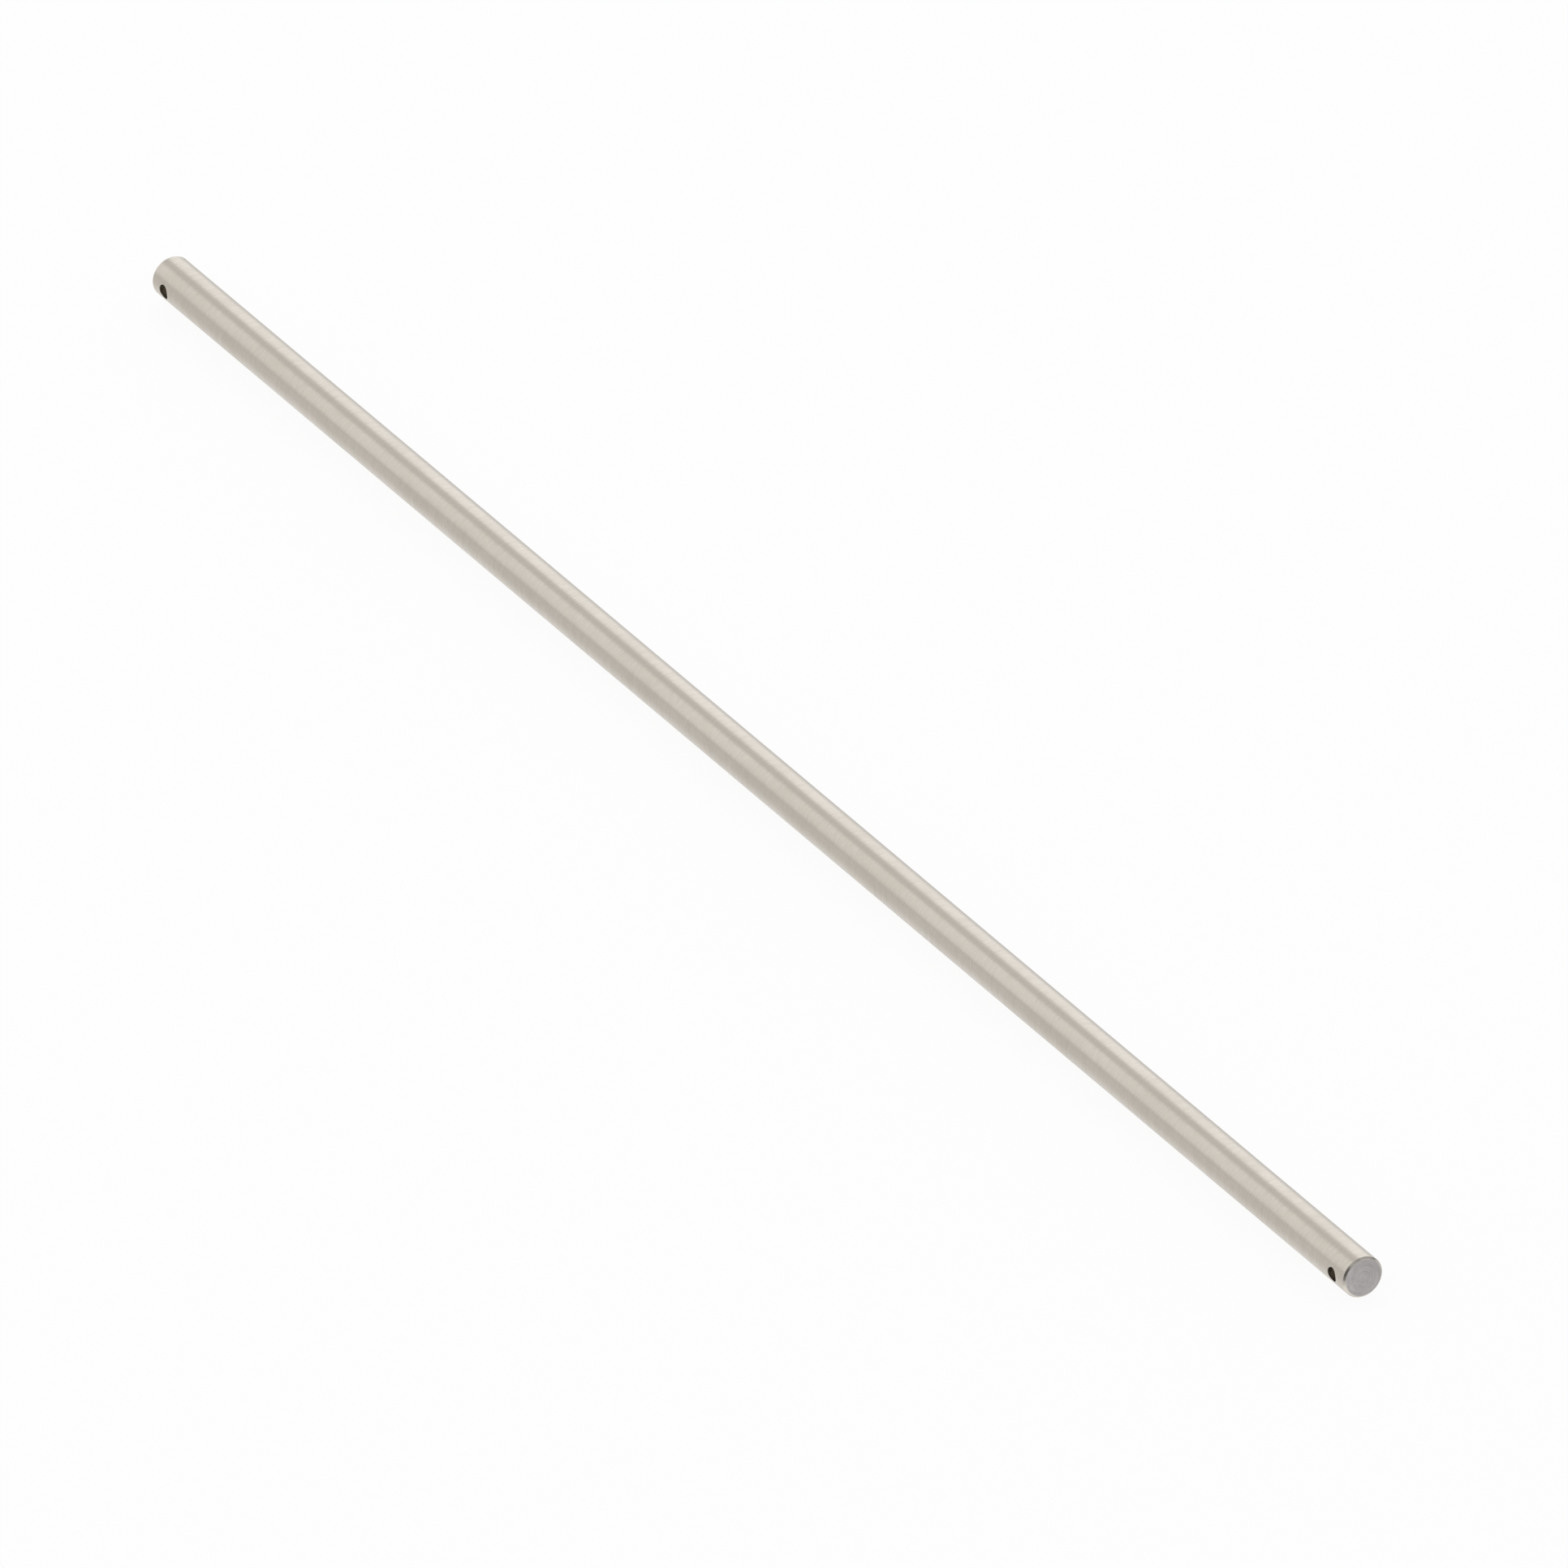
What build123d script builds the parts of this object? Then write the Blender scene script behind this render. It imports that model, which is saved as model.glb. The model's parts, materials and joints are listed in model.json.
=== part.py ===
from build123d import *
import os

# Cross-drilled metal shaft: one plain round bar, chamfered at both ends,
# with a through hole across it near each end.
# It lies along X with its middle at the origin. The cross holes run along Y. Units are millimetres.

# Driving sizes
shaft_diameter = 12.0
shaft_length = 650.0
end_chamfer = 0.6
cross_hole_diameter = 4.0
cross_hole_inset = 6.5
mouth_edge_break = 0.1

shaft_radius = shaft_diameter / 2
half_length = shaft_length / 2
cross_hole_radius = cross_hole_diameter / 2
drill_reach = 2 * shaft_diameter
cross_hole_stations = (half_length - cross_hole_inset, cross_hole_inset - half_length)


def turned_bar():
    """The bar as it comes off the lathe: its half profile turned about X, with both end chamfers."""
    shoulder = half_length - end_chamfer
    face_radius = shaft_radius - end_chamfer
    half_profile = Polyline(
        (-half_length, 0, 0),
        (-half_length, 0, face_radius),
        (-shoulder, 0, shaft_radius),
        (shoulder, 0, shaft_radius),
        (half_length, 0, face_radius),
        (half_length, 0, 0),
        close=True,
    )
    return revolve(make_face(half_profile), axis=Axis.X)


def cross_drill(station):
    """The round tool that drills one through hole along Y at the given place along the bar."""
    return Pos(station, 0, 0) * Rot(90, 0, 0) * Cylinder(cross_hole_radius, drill_reach)


def mouth_edges(bar):
    """The saddle-shaped edges where the cross holes break through the round surface."""
    reach = cross_hole_radius + mouth_edge_break
    edges = bar.edges().filter_by(GeomType.LINE, reverse=True)
    edges = edges.filter_by(GeomType.CIRCLE, reverse=True)
    return [e for e in edges if any(abs(e.center().X - x) < reach for x in cross_hole_stations)]


def cross_drilled_shaft():
    """The finished shaft, with its cross holes drilled and their sharp mouths lightly broken."""
    bar = turned_bar()
    for station in cross_hole_stations:
        bar -= cross_drill(station)
    return chamfer(mouth_edges(bar), mouth_edge_break)


os.makedirs("parts", exist_ok=True)
export_step(cross_drilled_shaft(), "parts/shaft.step")
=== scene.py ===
"""A cross-drilled metal shaft, lying on the pale floor of a plain studio.

The shaft is one round steel bar with a small chamfer and a cross hole at each end. Its sizes
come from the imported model, Geometry Nodes grow its smooth mesh from them, and four finishes
dress it: the ground round side, the turned chamfers, the turned end faces and the drilled holes.
"""

import json
import logging
import math
from dataclasses import dataclass, field
from enum import Enum
from typing import Any

import bmesh
import bpy
from mathutils import Matrix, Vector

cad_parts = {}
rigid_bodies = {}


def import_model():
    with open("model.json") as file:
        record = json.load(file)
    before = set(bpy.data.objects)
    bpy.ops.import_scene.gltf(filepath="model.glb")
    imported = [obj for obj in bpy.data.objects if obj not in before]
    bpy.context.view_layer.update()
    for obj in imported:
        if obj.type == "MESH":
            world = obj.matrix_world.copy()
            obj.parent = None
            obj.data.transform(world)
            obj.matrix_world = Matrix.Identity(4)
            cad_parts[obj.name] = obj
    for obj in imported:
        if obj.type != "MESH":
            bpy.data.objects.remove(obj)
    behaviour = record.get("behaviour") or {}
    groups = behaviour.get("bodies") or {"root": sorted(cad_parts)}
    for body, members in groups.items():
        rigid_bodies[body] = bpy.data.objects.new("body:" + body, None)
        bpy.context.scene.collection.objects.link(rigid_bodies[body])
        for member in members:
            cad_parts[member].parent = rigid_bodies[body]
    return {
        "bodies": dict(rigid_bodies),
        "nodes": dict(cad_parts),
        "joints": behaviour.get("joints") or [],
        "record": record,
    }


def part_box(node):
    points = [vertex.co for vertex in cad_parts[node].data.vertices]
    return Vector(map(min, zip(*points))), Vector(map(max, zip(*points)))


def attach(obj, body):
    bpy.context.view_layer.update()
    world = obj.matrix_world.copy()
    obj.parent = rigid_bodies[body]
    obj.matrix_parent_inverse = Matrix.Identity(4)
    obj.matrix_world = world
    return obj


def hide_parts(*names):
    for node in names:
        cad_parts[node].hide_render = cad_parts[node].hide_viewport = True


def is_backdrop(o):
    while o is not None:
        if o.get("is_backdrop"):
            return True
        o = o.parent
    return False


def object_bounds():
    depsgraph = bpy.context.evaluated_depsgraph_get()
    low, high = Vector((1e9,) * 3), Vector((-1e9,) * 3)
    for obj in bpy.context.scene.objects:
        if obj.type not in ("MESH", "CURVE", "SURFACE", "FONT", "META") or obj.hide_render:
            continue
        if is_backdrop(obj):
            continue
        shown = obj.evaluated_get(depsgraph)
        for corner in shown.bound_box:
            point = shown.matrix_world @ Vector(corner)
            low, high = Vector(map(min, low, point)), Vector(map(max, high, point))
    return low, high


LOG = logging.getLogger("shaft")

MM = 0.001
QUARTERS = 4
EIGHTH_TURN = math.pi / 4
QUARTER_TURN = math.pi / 2
HALF_TURN = math.pi
FULL_TURN = 2 * math.pi

CAD_NODE = "shaft"
BODY = "root"

Colour = tuple[float, float, float, float]

WHITE: Colour = (1.0, 1.0, 1.0, 1.0)


class TreeKind(Enum):
    """The two sorts of node group that this file lays out."""

    GEOMETRY = "GeometryNodeTree"
    SHADER = "ShaderNodeTree"


class SocketKind(Enum):
    """What a node group takes in or gives out."""

    NUMBER = "NodeSocketFloat"
    COUNT = "NodeSocketInt"
    VECTOR = "NodeSocketVector"
    GEOMETRY = "NodeSocketGeometry"


class LinesRun(Enum):
    """The way that the fine lines of a cut run over the steel."""

    ROUND_THE_BAR = "round the bar"
    ROUND_THE_FACE = "round the end face"
    ROUND_THE_HOLE = "round the cross hole"


class Number:
    """A number on a node tree, so that a formula on it reads as plain arithmetic."""

    def __init__(self, tree: "Tree", socket: bpy.types.NodeSocket) -> None:
        """Keeps the socket that the number comes out of.

        Args:
            tree: The tree that the formula is laid out in.
            socket: The output socket that holds the number.
        """
        self.tree = tree
        self.socket = socket

    def __add__(self, other: "Value") -> "Number":
        """This number plus another."""
        return self.tree.math("ADD", self, other)

    def __sub__(self, other: "Value") -> "Number":
        """This number less another."""
        return self.tree.math("SUBTRACT", self, other)

    def __rsub__(self, other: "Value") -> "Number":
        """Another number less this one."""
        return self.tree.math("SUBTRACT", other, self)

    def __mul__(self, other: "Value") -> "Number":
        """This number times another."""
        return self.tree.math("MULTIPLY", self, other)

    def __truediv__(self, other: "Value") -> "Number":
        """This number over another."""
        return self.tree.math("DIVIDE", self, other)

    def __abs__(self) -> "Number":
        """This number without its sign."""
        return self.tree.math("ABSOLUTE", self)


Value = Number | float


class Tree:
    """A node tree as it is being laid out."""

    def __init__(self, nodes: bpy.types.NodeTree) -> None:
        """Starts work on a tree.

        Args:
            nodes: The Blender node tree to add nodes to.
        """
        self.nodes = nodes
        self.way_in: bpy.types.Node | None = None
        self.way_out: bpy.types.Node | None = None

    @classmethod
    def group(cls, name: str, kind: TreeKind) -> "Tree":
        """Starts an empty node group with its way in and its way out.

        Args:
            name: The group's name.
            kind: Whether it makes geometry or shading.

        Returns:
            The tree of the new group.
        """
        tree = cls(bpy.data.node_groups.new(name, kind.value))
        tree.way_in = tree.add("NodeGroupInput")
        tree.way_out = tree.add("NodeGroupOutput")
        return tree

    def take(self, name: str, kind: SocketKind = SocketKind.NUMBER) -> Number:
        """Adds a named input to the group.

        Args:
            name: The input's name.
            kind: What it takes in.

        Returns:
            The input as it arrives inside the group.
        """
        self.nodes.interface.new_socket(name=name, in_out="INPUT", socket_type=kind.value)
        return Number(self, self.way_in.outputs[name])

    def give(self, name: str, value: Number, kind: SocketKind = SocketKind.NUMBER) -> None:
        """Adds a named output to the group.

        Args:
            name: The output's name.
            value: What the output gives out.
            kind: What sort of thing that is.
        """
        self.nodes.interface.new_socket(name=name, in_out="OUTPUT", socket_type=kind.value)
        self.nodes.links.new(value.socket, self.way_out.inputs[name])

    def add(
        self, kind: str, inputs: dict[str | int, Any] | None = None, **settings: Any
    ) -> bpy.types.Node:
        """Adds one node.

        Args:
            kind: Blender's name for the node's type.
            inputs: What goes into its sockets, by their names or places.
            settings: The node's own settings.

        Returns:
            The new node.
        """
        node = self.nodes.nodes.new(kind)
        for name, value in settings.items():
            setattr(node, name, value)
        for socket, value in (inputs or {}).items():
            self.feed(node.inputs[socket], value)
        return node

    def feed(self, socket: bpy.types.NodeSocket, value: Any) -> None:
        """Puts a number, a link or a plain setting into a socket.

        Args:
            socket: The input socket.
            value: A Number or several to link to it, or a value to set on it.
        """
        if isinstance(value, list):
            for one in value:
                self.feed(socket, one)
        elif isinstance(value, Number):
            self.nodes.links.new(value.socket, socket)
        else:
            socket.default_value = value

    def out(self, node: bpy.types.Node, name: str | int = 0) -> Number:
        """One output of a node, by its name or place."""
        return Number(self, node.outputs[name])

    def math(self, operation: str, *values: Value) -> Number:
        """Adds one step of arithmetic.

        Args:
            operation: Blender's name for the operation.
            values: The numbers that it works on, in order.

        Returns:
            The result.
        """
        return self.out(self.add("ShaderNodeMath", dict(enumerate(values)), operation=operation))

    def hypot(self, first: Number, second: Number) -> Number:
        """How far a point lies from the origin of two axes at right angles."""
        return self.math("SQRT", first * first + second * second)

    def vector(self, x: Value, y: Value, z: Value) -> Number:
        """Joins three numbers into a vector."""
        return self.out(self.add("ShaderNodeCombineXYZ", {0: x, 1: y, 2: z}))

    def split(self, vector: Number) -> tuple[Number, Number, Number]:
        """Splits a vector into its three numbers."""
        node = self.add("ShaderNodeSeparateXYZ", {0: vector})
        return self.out(node, 0), self.out(node, 1), self.out(node, 2)

    def blend(self, start: Value, end: Value, share: Value) -> Number:
        """The number that lies a share of the way from start to end."""
        return start + (end - start) * share

    def ramp(self, value: Number, low: float, high: float) -> Number:
        """A smooth step.

        Args:
            value: The number that drives the step.
            low: Where the step starts, at 0.
            high: Where the step ends, at 1.

        Returns:
            A number from 0 to 1.
        """
        ends = {"Value": value, "From Min": low, "From Max": high}
        return self.out(self.add("ShaderNodeMapRange", ends, interpolation_type="SMOOTHSTEP"))

    def cells(self, point: tuple[Number, Number, Number], length: Number, width: Number) -> Number:
        """Counts a point's place in cells, as the vector of a noise.

        Args:
            point: The point's three places, in metres.
            length: Length of a cell along the first of them.
            width: Its width along the other two.

        Returns:
            The vector.
        """
        first, second, third = point
        return self.vector(first / length, second / width, third / width)

    def noise(self, vector: Number, detail: float, roughness: float = 0.5) -> Number:
        """Soft noise from about 0 to 1, with one cycle for each unit of its vector.

        Args:
            vector: Where in the noise each point lies.
            detail: How many finer layers it has.
            roughness: How strong the finer layers are.

        Returns:
            The noise.
        """
        inputs = {"Vector": vector, "Scale": 1.0, "Detail": detail, "Roughness": roughness}
        return self.out(self.add("ShaderNodeTexNoise", inputs))

    def use(self, group: "Tree", inputs: dict[str, Any]) -> bpy.types.Node:
        """Places a node group in this tree.

        Args:
            group: The group's own tree.
            inputs: What goes into it, by the names of its inputs.

        Returns:
            The node that stands for the group.
        """
        kind = "GeometryNodeGroup" if self.nodes.type == "GEOMETRY" else "ShaderNodeGroup"
        node = self.add(kind, node_tree=group.nodes)
        for name, value in inputs.items():
            self.feed(node.inputs[name], value)
        return node


@dataclass(frozen=True)
class ShaftSizes:
    """The shaft's sizes in metres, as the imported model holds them.

    Attributes:
        length: From end face to end face.
        radius: Of the round side.
        end_chamfer: Width and depth of the chamfer at each end.
        hole_radius: Of each cross hole's wall.
        hole_station: From the middle of the shaft to the line of either cross hole.
        edge_break: Width of the small chamfer round each hole's mouth.
    """

    length: float
    radius: float
    end_chamfer: float
    hole_radius: float
    hole_station: float
    edge_break: float

    @classmethod
    def from_frame(cls, frame: dict[str, Any]) -> "ShaftSizes":
        """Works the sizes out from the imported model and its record.


        Returns:
            The shaft's sizes.
        """
        low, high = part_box(CAD_NODE)
        mounts = {mount["name"]: mount for mount in frame["record"]["mounts"]}
        round_side = mounts["journal_plus_x"]["dims"]
        hole = mounts["cross_hole_plus_x"]
        length = high.x - low.x
        return cls(
            length=length,
            radius=(high.z - low.z) / 2,
            end_chamfer=(length - round_side["length_mm"] * MM) / 2,
            hole_radius=hole["dims"]["r_mm"] * MM,
            hole_station=hole["pos_m"][0],
            edge_break=round_side["r_mm"] * MM - hole["dims"]["length_mm"] * MM / 2,
        )


@dataclass(frozen=True)
class CutLines:
    """Lines side by side, as a cutting or grinding tool leaves them, uneven along their run.

    Attributes:
        line_detail: How many finer layers the lines have.
        line_roughness: How strong those layers are.
        band_width: Width of the broader bands among the lines, in pitches.
        band_detail: How many finer layers the bands have.
        band_share: Share of the bands in the height.
        tone_ends: The heights at which the tone is 0 and 1.
    """

    line_detail: float = 2.0
    line_roughness: float = 0.6
    band_width: float = 7.3
    band_detail: float = 3.0
    band_share: float = 0.3
    tone_ends: tuple[float, float] = (0.32, 0.68)

    def build(self) -> Tree:
        """Lays the group out.

        Returns:
            A group that takes where a point lies across and along the lines, and gives their
            height and their tone, both from about 0 to 1.
        """
        tree = Tree.group("cut_lines", TreeKind.SHADER)
        across = tree.take("Across")
        place = tree.take("Position", SocketKind.VECTOR)
        pitch = tree.take("Pitch")
        run = tree.take("Run")
        _, y, z = tree.split(place)
        line_cells = tree.cells((across, y, z), pitch, run)
        band_cells = tree.cells((across, z, y), pitch * self.band_width, run)
        lines = tree.noise(line_cells, self.line_detail, self.line_roughness)
        bands = tree.noise(band_cells, self.band_detail)
        height = tree.blend(lines, bands, self.band_share)
        tree.give("Height", height)
        tree.give("Tone", tree.ramp(height, *self.tone_ends))
        return tree


@dataclass(frozen=True)
class Handling:
    """Faint smudges, and sparse hair-fine scratches that lie mostly along the shaft.

    Lengths and widths are counted in sizes of a smudge.

    Attributes:
        smudge_width: Width of a smudge across the shaft.
        smudge_detail: How many finer layers the smudges have.
        smudge_ends: The noise at which a smudge starts and is full.
        slant: How far the scratches lean away from the shaft's line.
        scratch_length: Length of a scratch.
        scratch_spacing: Distance from a scratch to the next.
        scratch_width: Width of a scratch, as a share of that distance.
        patch_length: Length of the patches that have scratches.
        patch_width: Width of those patches.
        patch_detail: How many finer layers those patches have.
        patch_ends: The noise at which such a patch starts and is full.
    """

    smudge_width: float = 0.3
    smudge_detail: float = 4.0
    smudge_ends: tuple[float, float] = (0.35, 0.7)
    slant: float = 2.5
    scratch_length: float = 1.6
    scratch_spacing: float = 0.035
    scratch_width: float = 0.05
    patch_length: float = 0.5
    patch_width: float = 0.1
    patch_detail: float = 1.0
    patch_ends: tuple[float, float] = (0.56, 0.68)

    def build(self) -> Tree:
        """Lays the group out.

        Returns:
            A group that takes a point and gives two masks, for the smudges and the scratches.
        """
        tree = Tree.group("handling", TreeKind.SHADER)
        place = tree.take("Position", SocketKind.VECTOR)
        size = tree.take("Smudge Size")
        x, y, z = tree.split(place)
        smudge_cells = tree.cells((x, y, z), size, size * self.smudge_width)
        smudge = tree.noise(smudge_cells, self.smudge_detail)

        slanted = (x + (y + z) * self.slant, y - z, y + z)
        scratch_cells = tree.cells(slanted, size * self.scratch_length, size * self.scratch_spacing)
        inputs = {"Vector": scratch_cells, "Scale": 1.0}
        to_line = tree.out(tree.add("ShaderNodeTexVoronoi", inputs, feature="DISTANCE_TO_EDGE"))
        patch_cells = tree.cells((x, y, z), size * self.patch_length, size * self.patch_width)
        patches = tree.ramp(tree.noise(patch_cells, self.patch_detail), *self.patch_ends)
        scratch = (1.0 - tree.ramp(to_line, 0.0, self.scratch_width)) * patches

        tree.give("Smudge", tree.ramp(smudge, *self.smudge_ends))
        tree.give("Scratch", scratch)
        return tree


@dataclass(frozen=True)
class EdgeWearAndShade:
    """An uneven strip beside an edge: real wear rubbed bright on the outer finishes, and painted shade
    inside each drilled hole near its mouths.

    Attributes:
        patch: Size of the strip's unevenness, in widths of the strip.
        detail: How many finer layers that unevenness has.
        least_reach: The least that the strip reaches, in its own widths.
    """

    patch: float = 4.0
    detail: float = 3.0
    least_reach: float = 0.3

    def build(self) -> Tree:
        """Lays the group out.

        Returns:
            A group that takes the distance to the edge and gives a mask, which is 1 at it.
        """
        tree = Tree.group("edge_wear_and_shade", TreeKind.SHADER)
        distance = tree.take("Distance")
        width = tree.take("Width")
        place = tree.take("Position", SocketKind.VECTOR)
        patch = width * self.patch
        uneven = tree.noise(tree.cells(tree.split(place), patch, patch), self.detail)
        reach = width * (uneven + self.least_reach)
        tree.give("Wear And Shade", tree.math("MAXIMUM", 1.0 - abs(distance) / reach, 0.0))
        return tree


@dataclass(frozen=True)
class SurfaceEffects:
    """The shader node groups that every steel finish shares.

    Attributes:
        cut_lines: Fine lines that a cutting or grinding tool leaves.
        handling: Smudges and hair-fine scratches from being handled.
        edge_wear_and_shade: A strip beside an edge: real wear rubbed bright outside, and painted shade
            inside the drilled holes.
    """

    cut_lines: Tree
    handling: Tree
    edge_wear_and_shade: Tree

    @classmethod
    def make(cls) -> "SurfaceEffects":
        """Builds the three groups."""
        return cls(CutLines().build(), Handling().build(), EdgeWearAndShade().build())


@dataclass(frozen=True)
class SteelFinish:
    """One finish of the steel: how it was cut, and what that leaves to be seen.

    Attributes:
        name: The material's name.
        lines_run: The way that the lines of the cut run.
        colour: Of the clean steel.
        dull_colour: Of the steel where it is a little tarnished or smudged.
        edge_wear_and_shade_colour: Of the steel beside an edge: lighter where rubbed by wear, and in the
            drilled holes a dark painted shade.
        roughness: Of the clean steel.
        uneven: How much rougher a line, smudge or scratch makes it.
        pitch: Distance between the lines, in metres.
        run: Length over which a line changes, in metres.
        relief: Depth of the lines, in metres.
        smudge_size: Size of a smudge, in metres.
        wear_and_shade_width: Width of the strip beside an edge, of wear or, in the drilled holes, of
            painted shade, in metres.
        line_dulling: Share of the lines in how dull the steel is.
        smudge_dulling: Share of the smudges in it.
        middle_tone: The tone of the lines at which they change no roughness.
        smudge_roughening: How much of the unevenness a smudge adds.
        scratch_roughening: How much of it a scratch adds.
        wear_smoothing: How much of it the strip beside an edge takes away.
        scratch_depth: Depth of a scratch, in depths of the lines.
    """

    name: str
    lines_run: LinesRun
    colour: Colour
    dull_colour: Colour
    edge_wear_and_shade_colour: Colour
    roughness: float
    uneven: float
    pitch: float
    run: float
    relief: float
    smudge_size: float
    wear_and_shade_width: float
    line_dulling: float = 0.8
    smudge_dulling: float = 0.2
    middle_tone: float = 0.5
    smudge_roughening: float = 0.5
    scratch_roughening: float = 0.6
    wear_smoothing: float = 0.6
    scratch_depth: float = 0.5

    def material(self, sizes: ShaftSizes, effects: SurfaceEffects) -> bpy.types.Material:
        """Makes the finish's material.

        Args:
            sizes: The shaft's sizes, which say where its edges are.
            effects: The shared node groups.

        Returns:
            The material.
        """
        material = bpy.data.materials.new(self.name)
        material.use_nodes = True
        tree = Tree(material.node_tree)
        shader = tree.nodes.nodes["Principled BSDF"]
        place = tree.out(tree.add("ShaderNodeTexCoord"), "Object")
        across, edge = self._layout(tree, place, sizes)

        cut = {"Across": across, "Position": place, "Pitch": self.pitch, "Run": self.run}
        lines = tree.use(effects.cut_lines, cut)
        marks = tree.use(effects.handling, {"Position": place, "Smudge Size": self.smudge_size})
        # The strip beside an edge is wear on the outer finishes, and painted shade inside the drilled
        # holes.
        strip = {"Distance": edge, "Width": self.wear_and_shade_width, "Position": place}
        wear_and_shade = tree.out(tree.use(effects.edge_wear_and_shade, strip), "Wear And Shade")
        tone, height = tree.out(lines, "Tone"), tree.out(lines, "Height")
        smudge, scratch = tree.out(marks, "Smudge"), tree.out(marks, "Scratch")

        dullness = tone * self.line_dulling + smudge * self.smudge_dulling
        colour = self._mix(tree, dullness, self.colour, self.dull_colour)
        tree.feed(shader.inputs["Base Color"], self._mix(tree, wear_and_shade, colour, self.edge_wear_and_shade_colour))

        marked = smudge * self.smudge_roughening + scratch * self.scratch_roughening
        unevenness = (tone - self.middle_tone) + marked - wear_and_shade * self.wear_smoothing
        tree.feed(shader.inputs["Roughness"], unevenness * self.uneven + self.roughness)
        shader.inputs["Metallic"].default_value = 1.0

        relief = height - scratch * self.scratch_depth
        hollows = {"Strength": 1.0, "Distance": self.relief, "Height": relief}
        tree.feed(shader.inputs["Normal"], tree.out(tree.add("ShaderNodeBump", hollows)))
        return material

    def _layout(self, tree: Tree, place: Number, sizes: ShaftSizes) -> tuple[Number, Number]:
        """Where a point lies across the lines of the cut, and how far it is from an edge.

        Args:
            tree: The material's tree.
            place: The point, in the shaft's own frame.
            sizes: The shaft's sizes.

        Returns:
            The place across the lines and the distance to the nearest edge, in metres.
        """
        x, y, z = tree.split(place)
        if self.lines_run is LinesRun.ROUND_THE_BAR:
            from_hole = tree.hypot(abs(x) - sizes.hole_station, z)
            to_mouth = from_hole - (sizes.hole_radius + sizes.edge_break)
            to_end = (sizes.length / 2 - sizes.end_chamfer) - abs(x)
            return x, tree.math("MINIMUM", to_mouth, to_end)
        from_axis = tree.hypot(y, z)
        if self.lines_run is LinesRun.ROUND_THE_FACE:
            return from_axis, (sizes.radius - sizes.end_chamfer) - from_axis
        return y, sizes.radius - from_axis

    @staticmethod
    def _mix(tree: Tree, share: Number, first: Number | Colour, second: Colour) -> Number:
        """Mixes two colours by a mask.

        Args:
            tree: The material's tree.
            share: The mask, which is the share of the second colour.
            first: The first colour.
            second: The second colour.

        Returns:
            The mixed colour.
        """
        node = tree.add("ShaderNodeMix", data_type="RGBA")
        colours = [socket for socket in node.inputs if socket.type == "RGBA"]
        tree.feed(node.inputs[0], share)
        tree.feed(colours[0], first)
        tree.feed(colours[1], second)
        return Number(tree, next(socket for socket in node.outputs if socket.type == "RGBA"))


GROUND_SIDE = SteelFinish(
    name="ground_side",
    lines_run=LinesRun.ROUND_THE_BAR,
    colour=(0.698, 0.646, 0.580, 1.0),
    dull_colour=(0.620, 0.572, 0.500, 1.0),
    edge_wear_and_shade_colour=(0.74, 0.70, 0.645, 1.0),
    roughness=0.27,
    uneven=0.09,
    pitch=0.16 * MM,
    run=4.0 * MM,
    relief=0.002 * MM,
    smudge_size=26 * MM,
    wear_and_shade_width=0.2 * MM,
)

TURNED_CHAMFER = SteelFinish(
    name="turned_chamfer",
    lines_run=LinesRun.ROUND_THE_BAR,
    colour=(0.665, 0.62, 0.56, 1.0),
    dull_colour=(0.60, 0.56, 0.50, 1.0),
    edge_wear_and_shade_colour=(0.72, 0.69, 0.65, 1.0),
    roughness=0.22,
    uneven=0.08,
    pitch=0.12 * MM,
    run=3.0 * MM,
    relief=0.0012 * MM,
    smudge_size=8 * MM,
    wear_and_shade_width=0.10 * MM,
)

# Its colours are darker and greyer than the same steel on the round side: painted shade on the end faces.
TURNED_END = SteelFinish(
    name="turned_end",
    lines_run=LinesRun.ROUND_THE_FACE,
    colour=(0.508, 0.482, 0.477, 1.0),
    dull_colour=(0.400, 0.381, 0.376, 1.0),
    edge_wear_and_shade_colour=(0.58, 0.56, 0.54, 1.0),
    roughness=0.38,
    uneven=0.14,
    pitch=0.15 * MM,
    run=5.0 * MM,
    relief=0.005 * MM,
    smudge_size=5 * MM,
    wear_and_shade_width=0.15 * MM,
)

# Its dark edge colour over a wide strip is painted shade inside the hole, darkest at each mouth.
DRILLED_HOLE = SteelFinish(
    name="drilled_hole",
    lines_run=LinesRun.ROUND_THE_HOLE,
    colour=(0.68, 0.62, 0.53, 1.0),
    dull_colour=(0.55, 0.495, 0.42, 1.0),
    edge_wear_and_shade_colour=(0.16, 0.14, 0.115, 1.0),
    roughness=0.36,
    uneven=0.14,
    pitch=0.25 * MM,
    run=1.5 * MM,
    relief=0.006 * MM,
    smudge_size=3 * MM,
    wear_and_shade_width=1.3 * MM,
)


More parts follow.
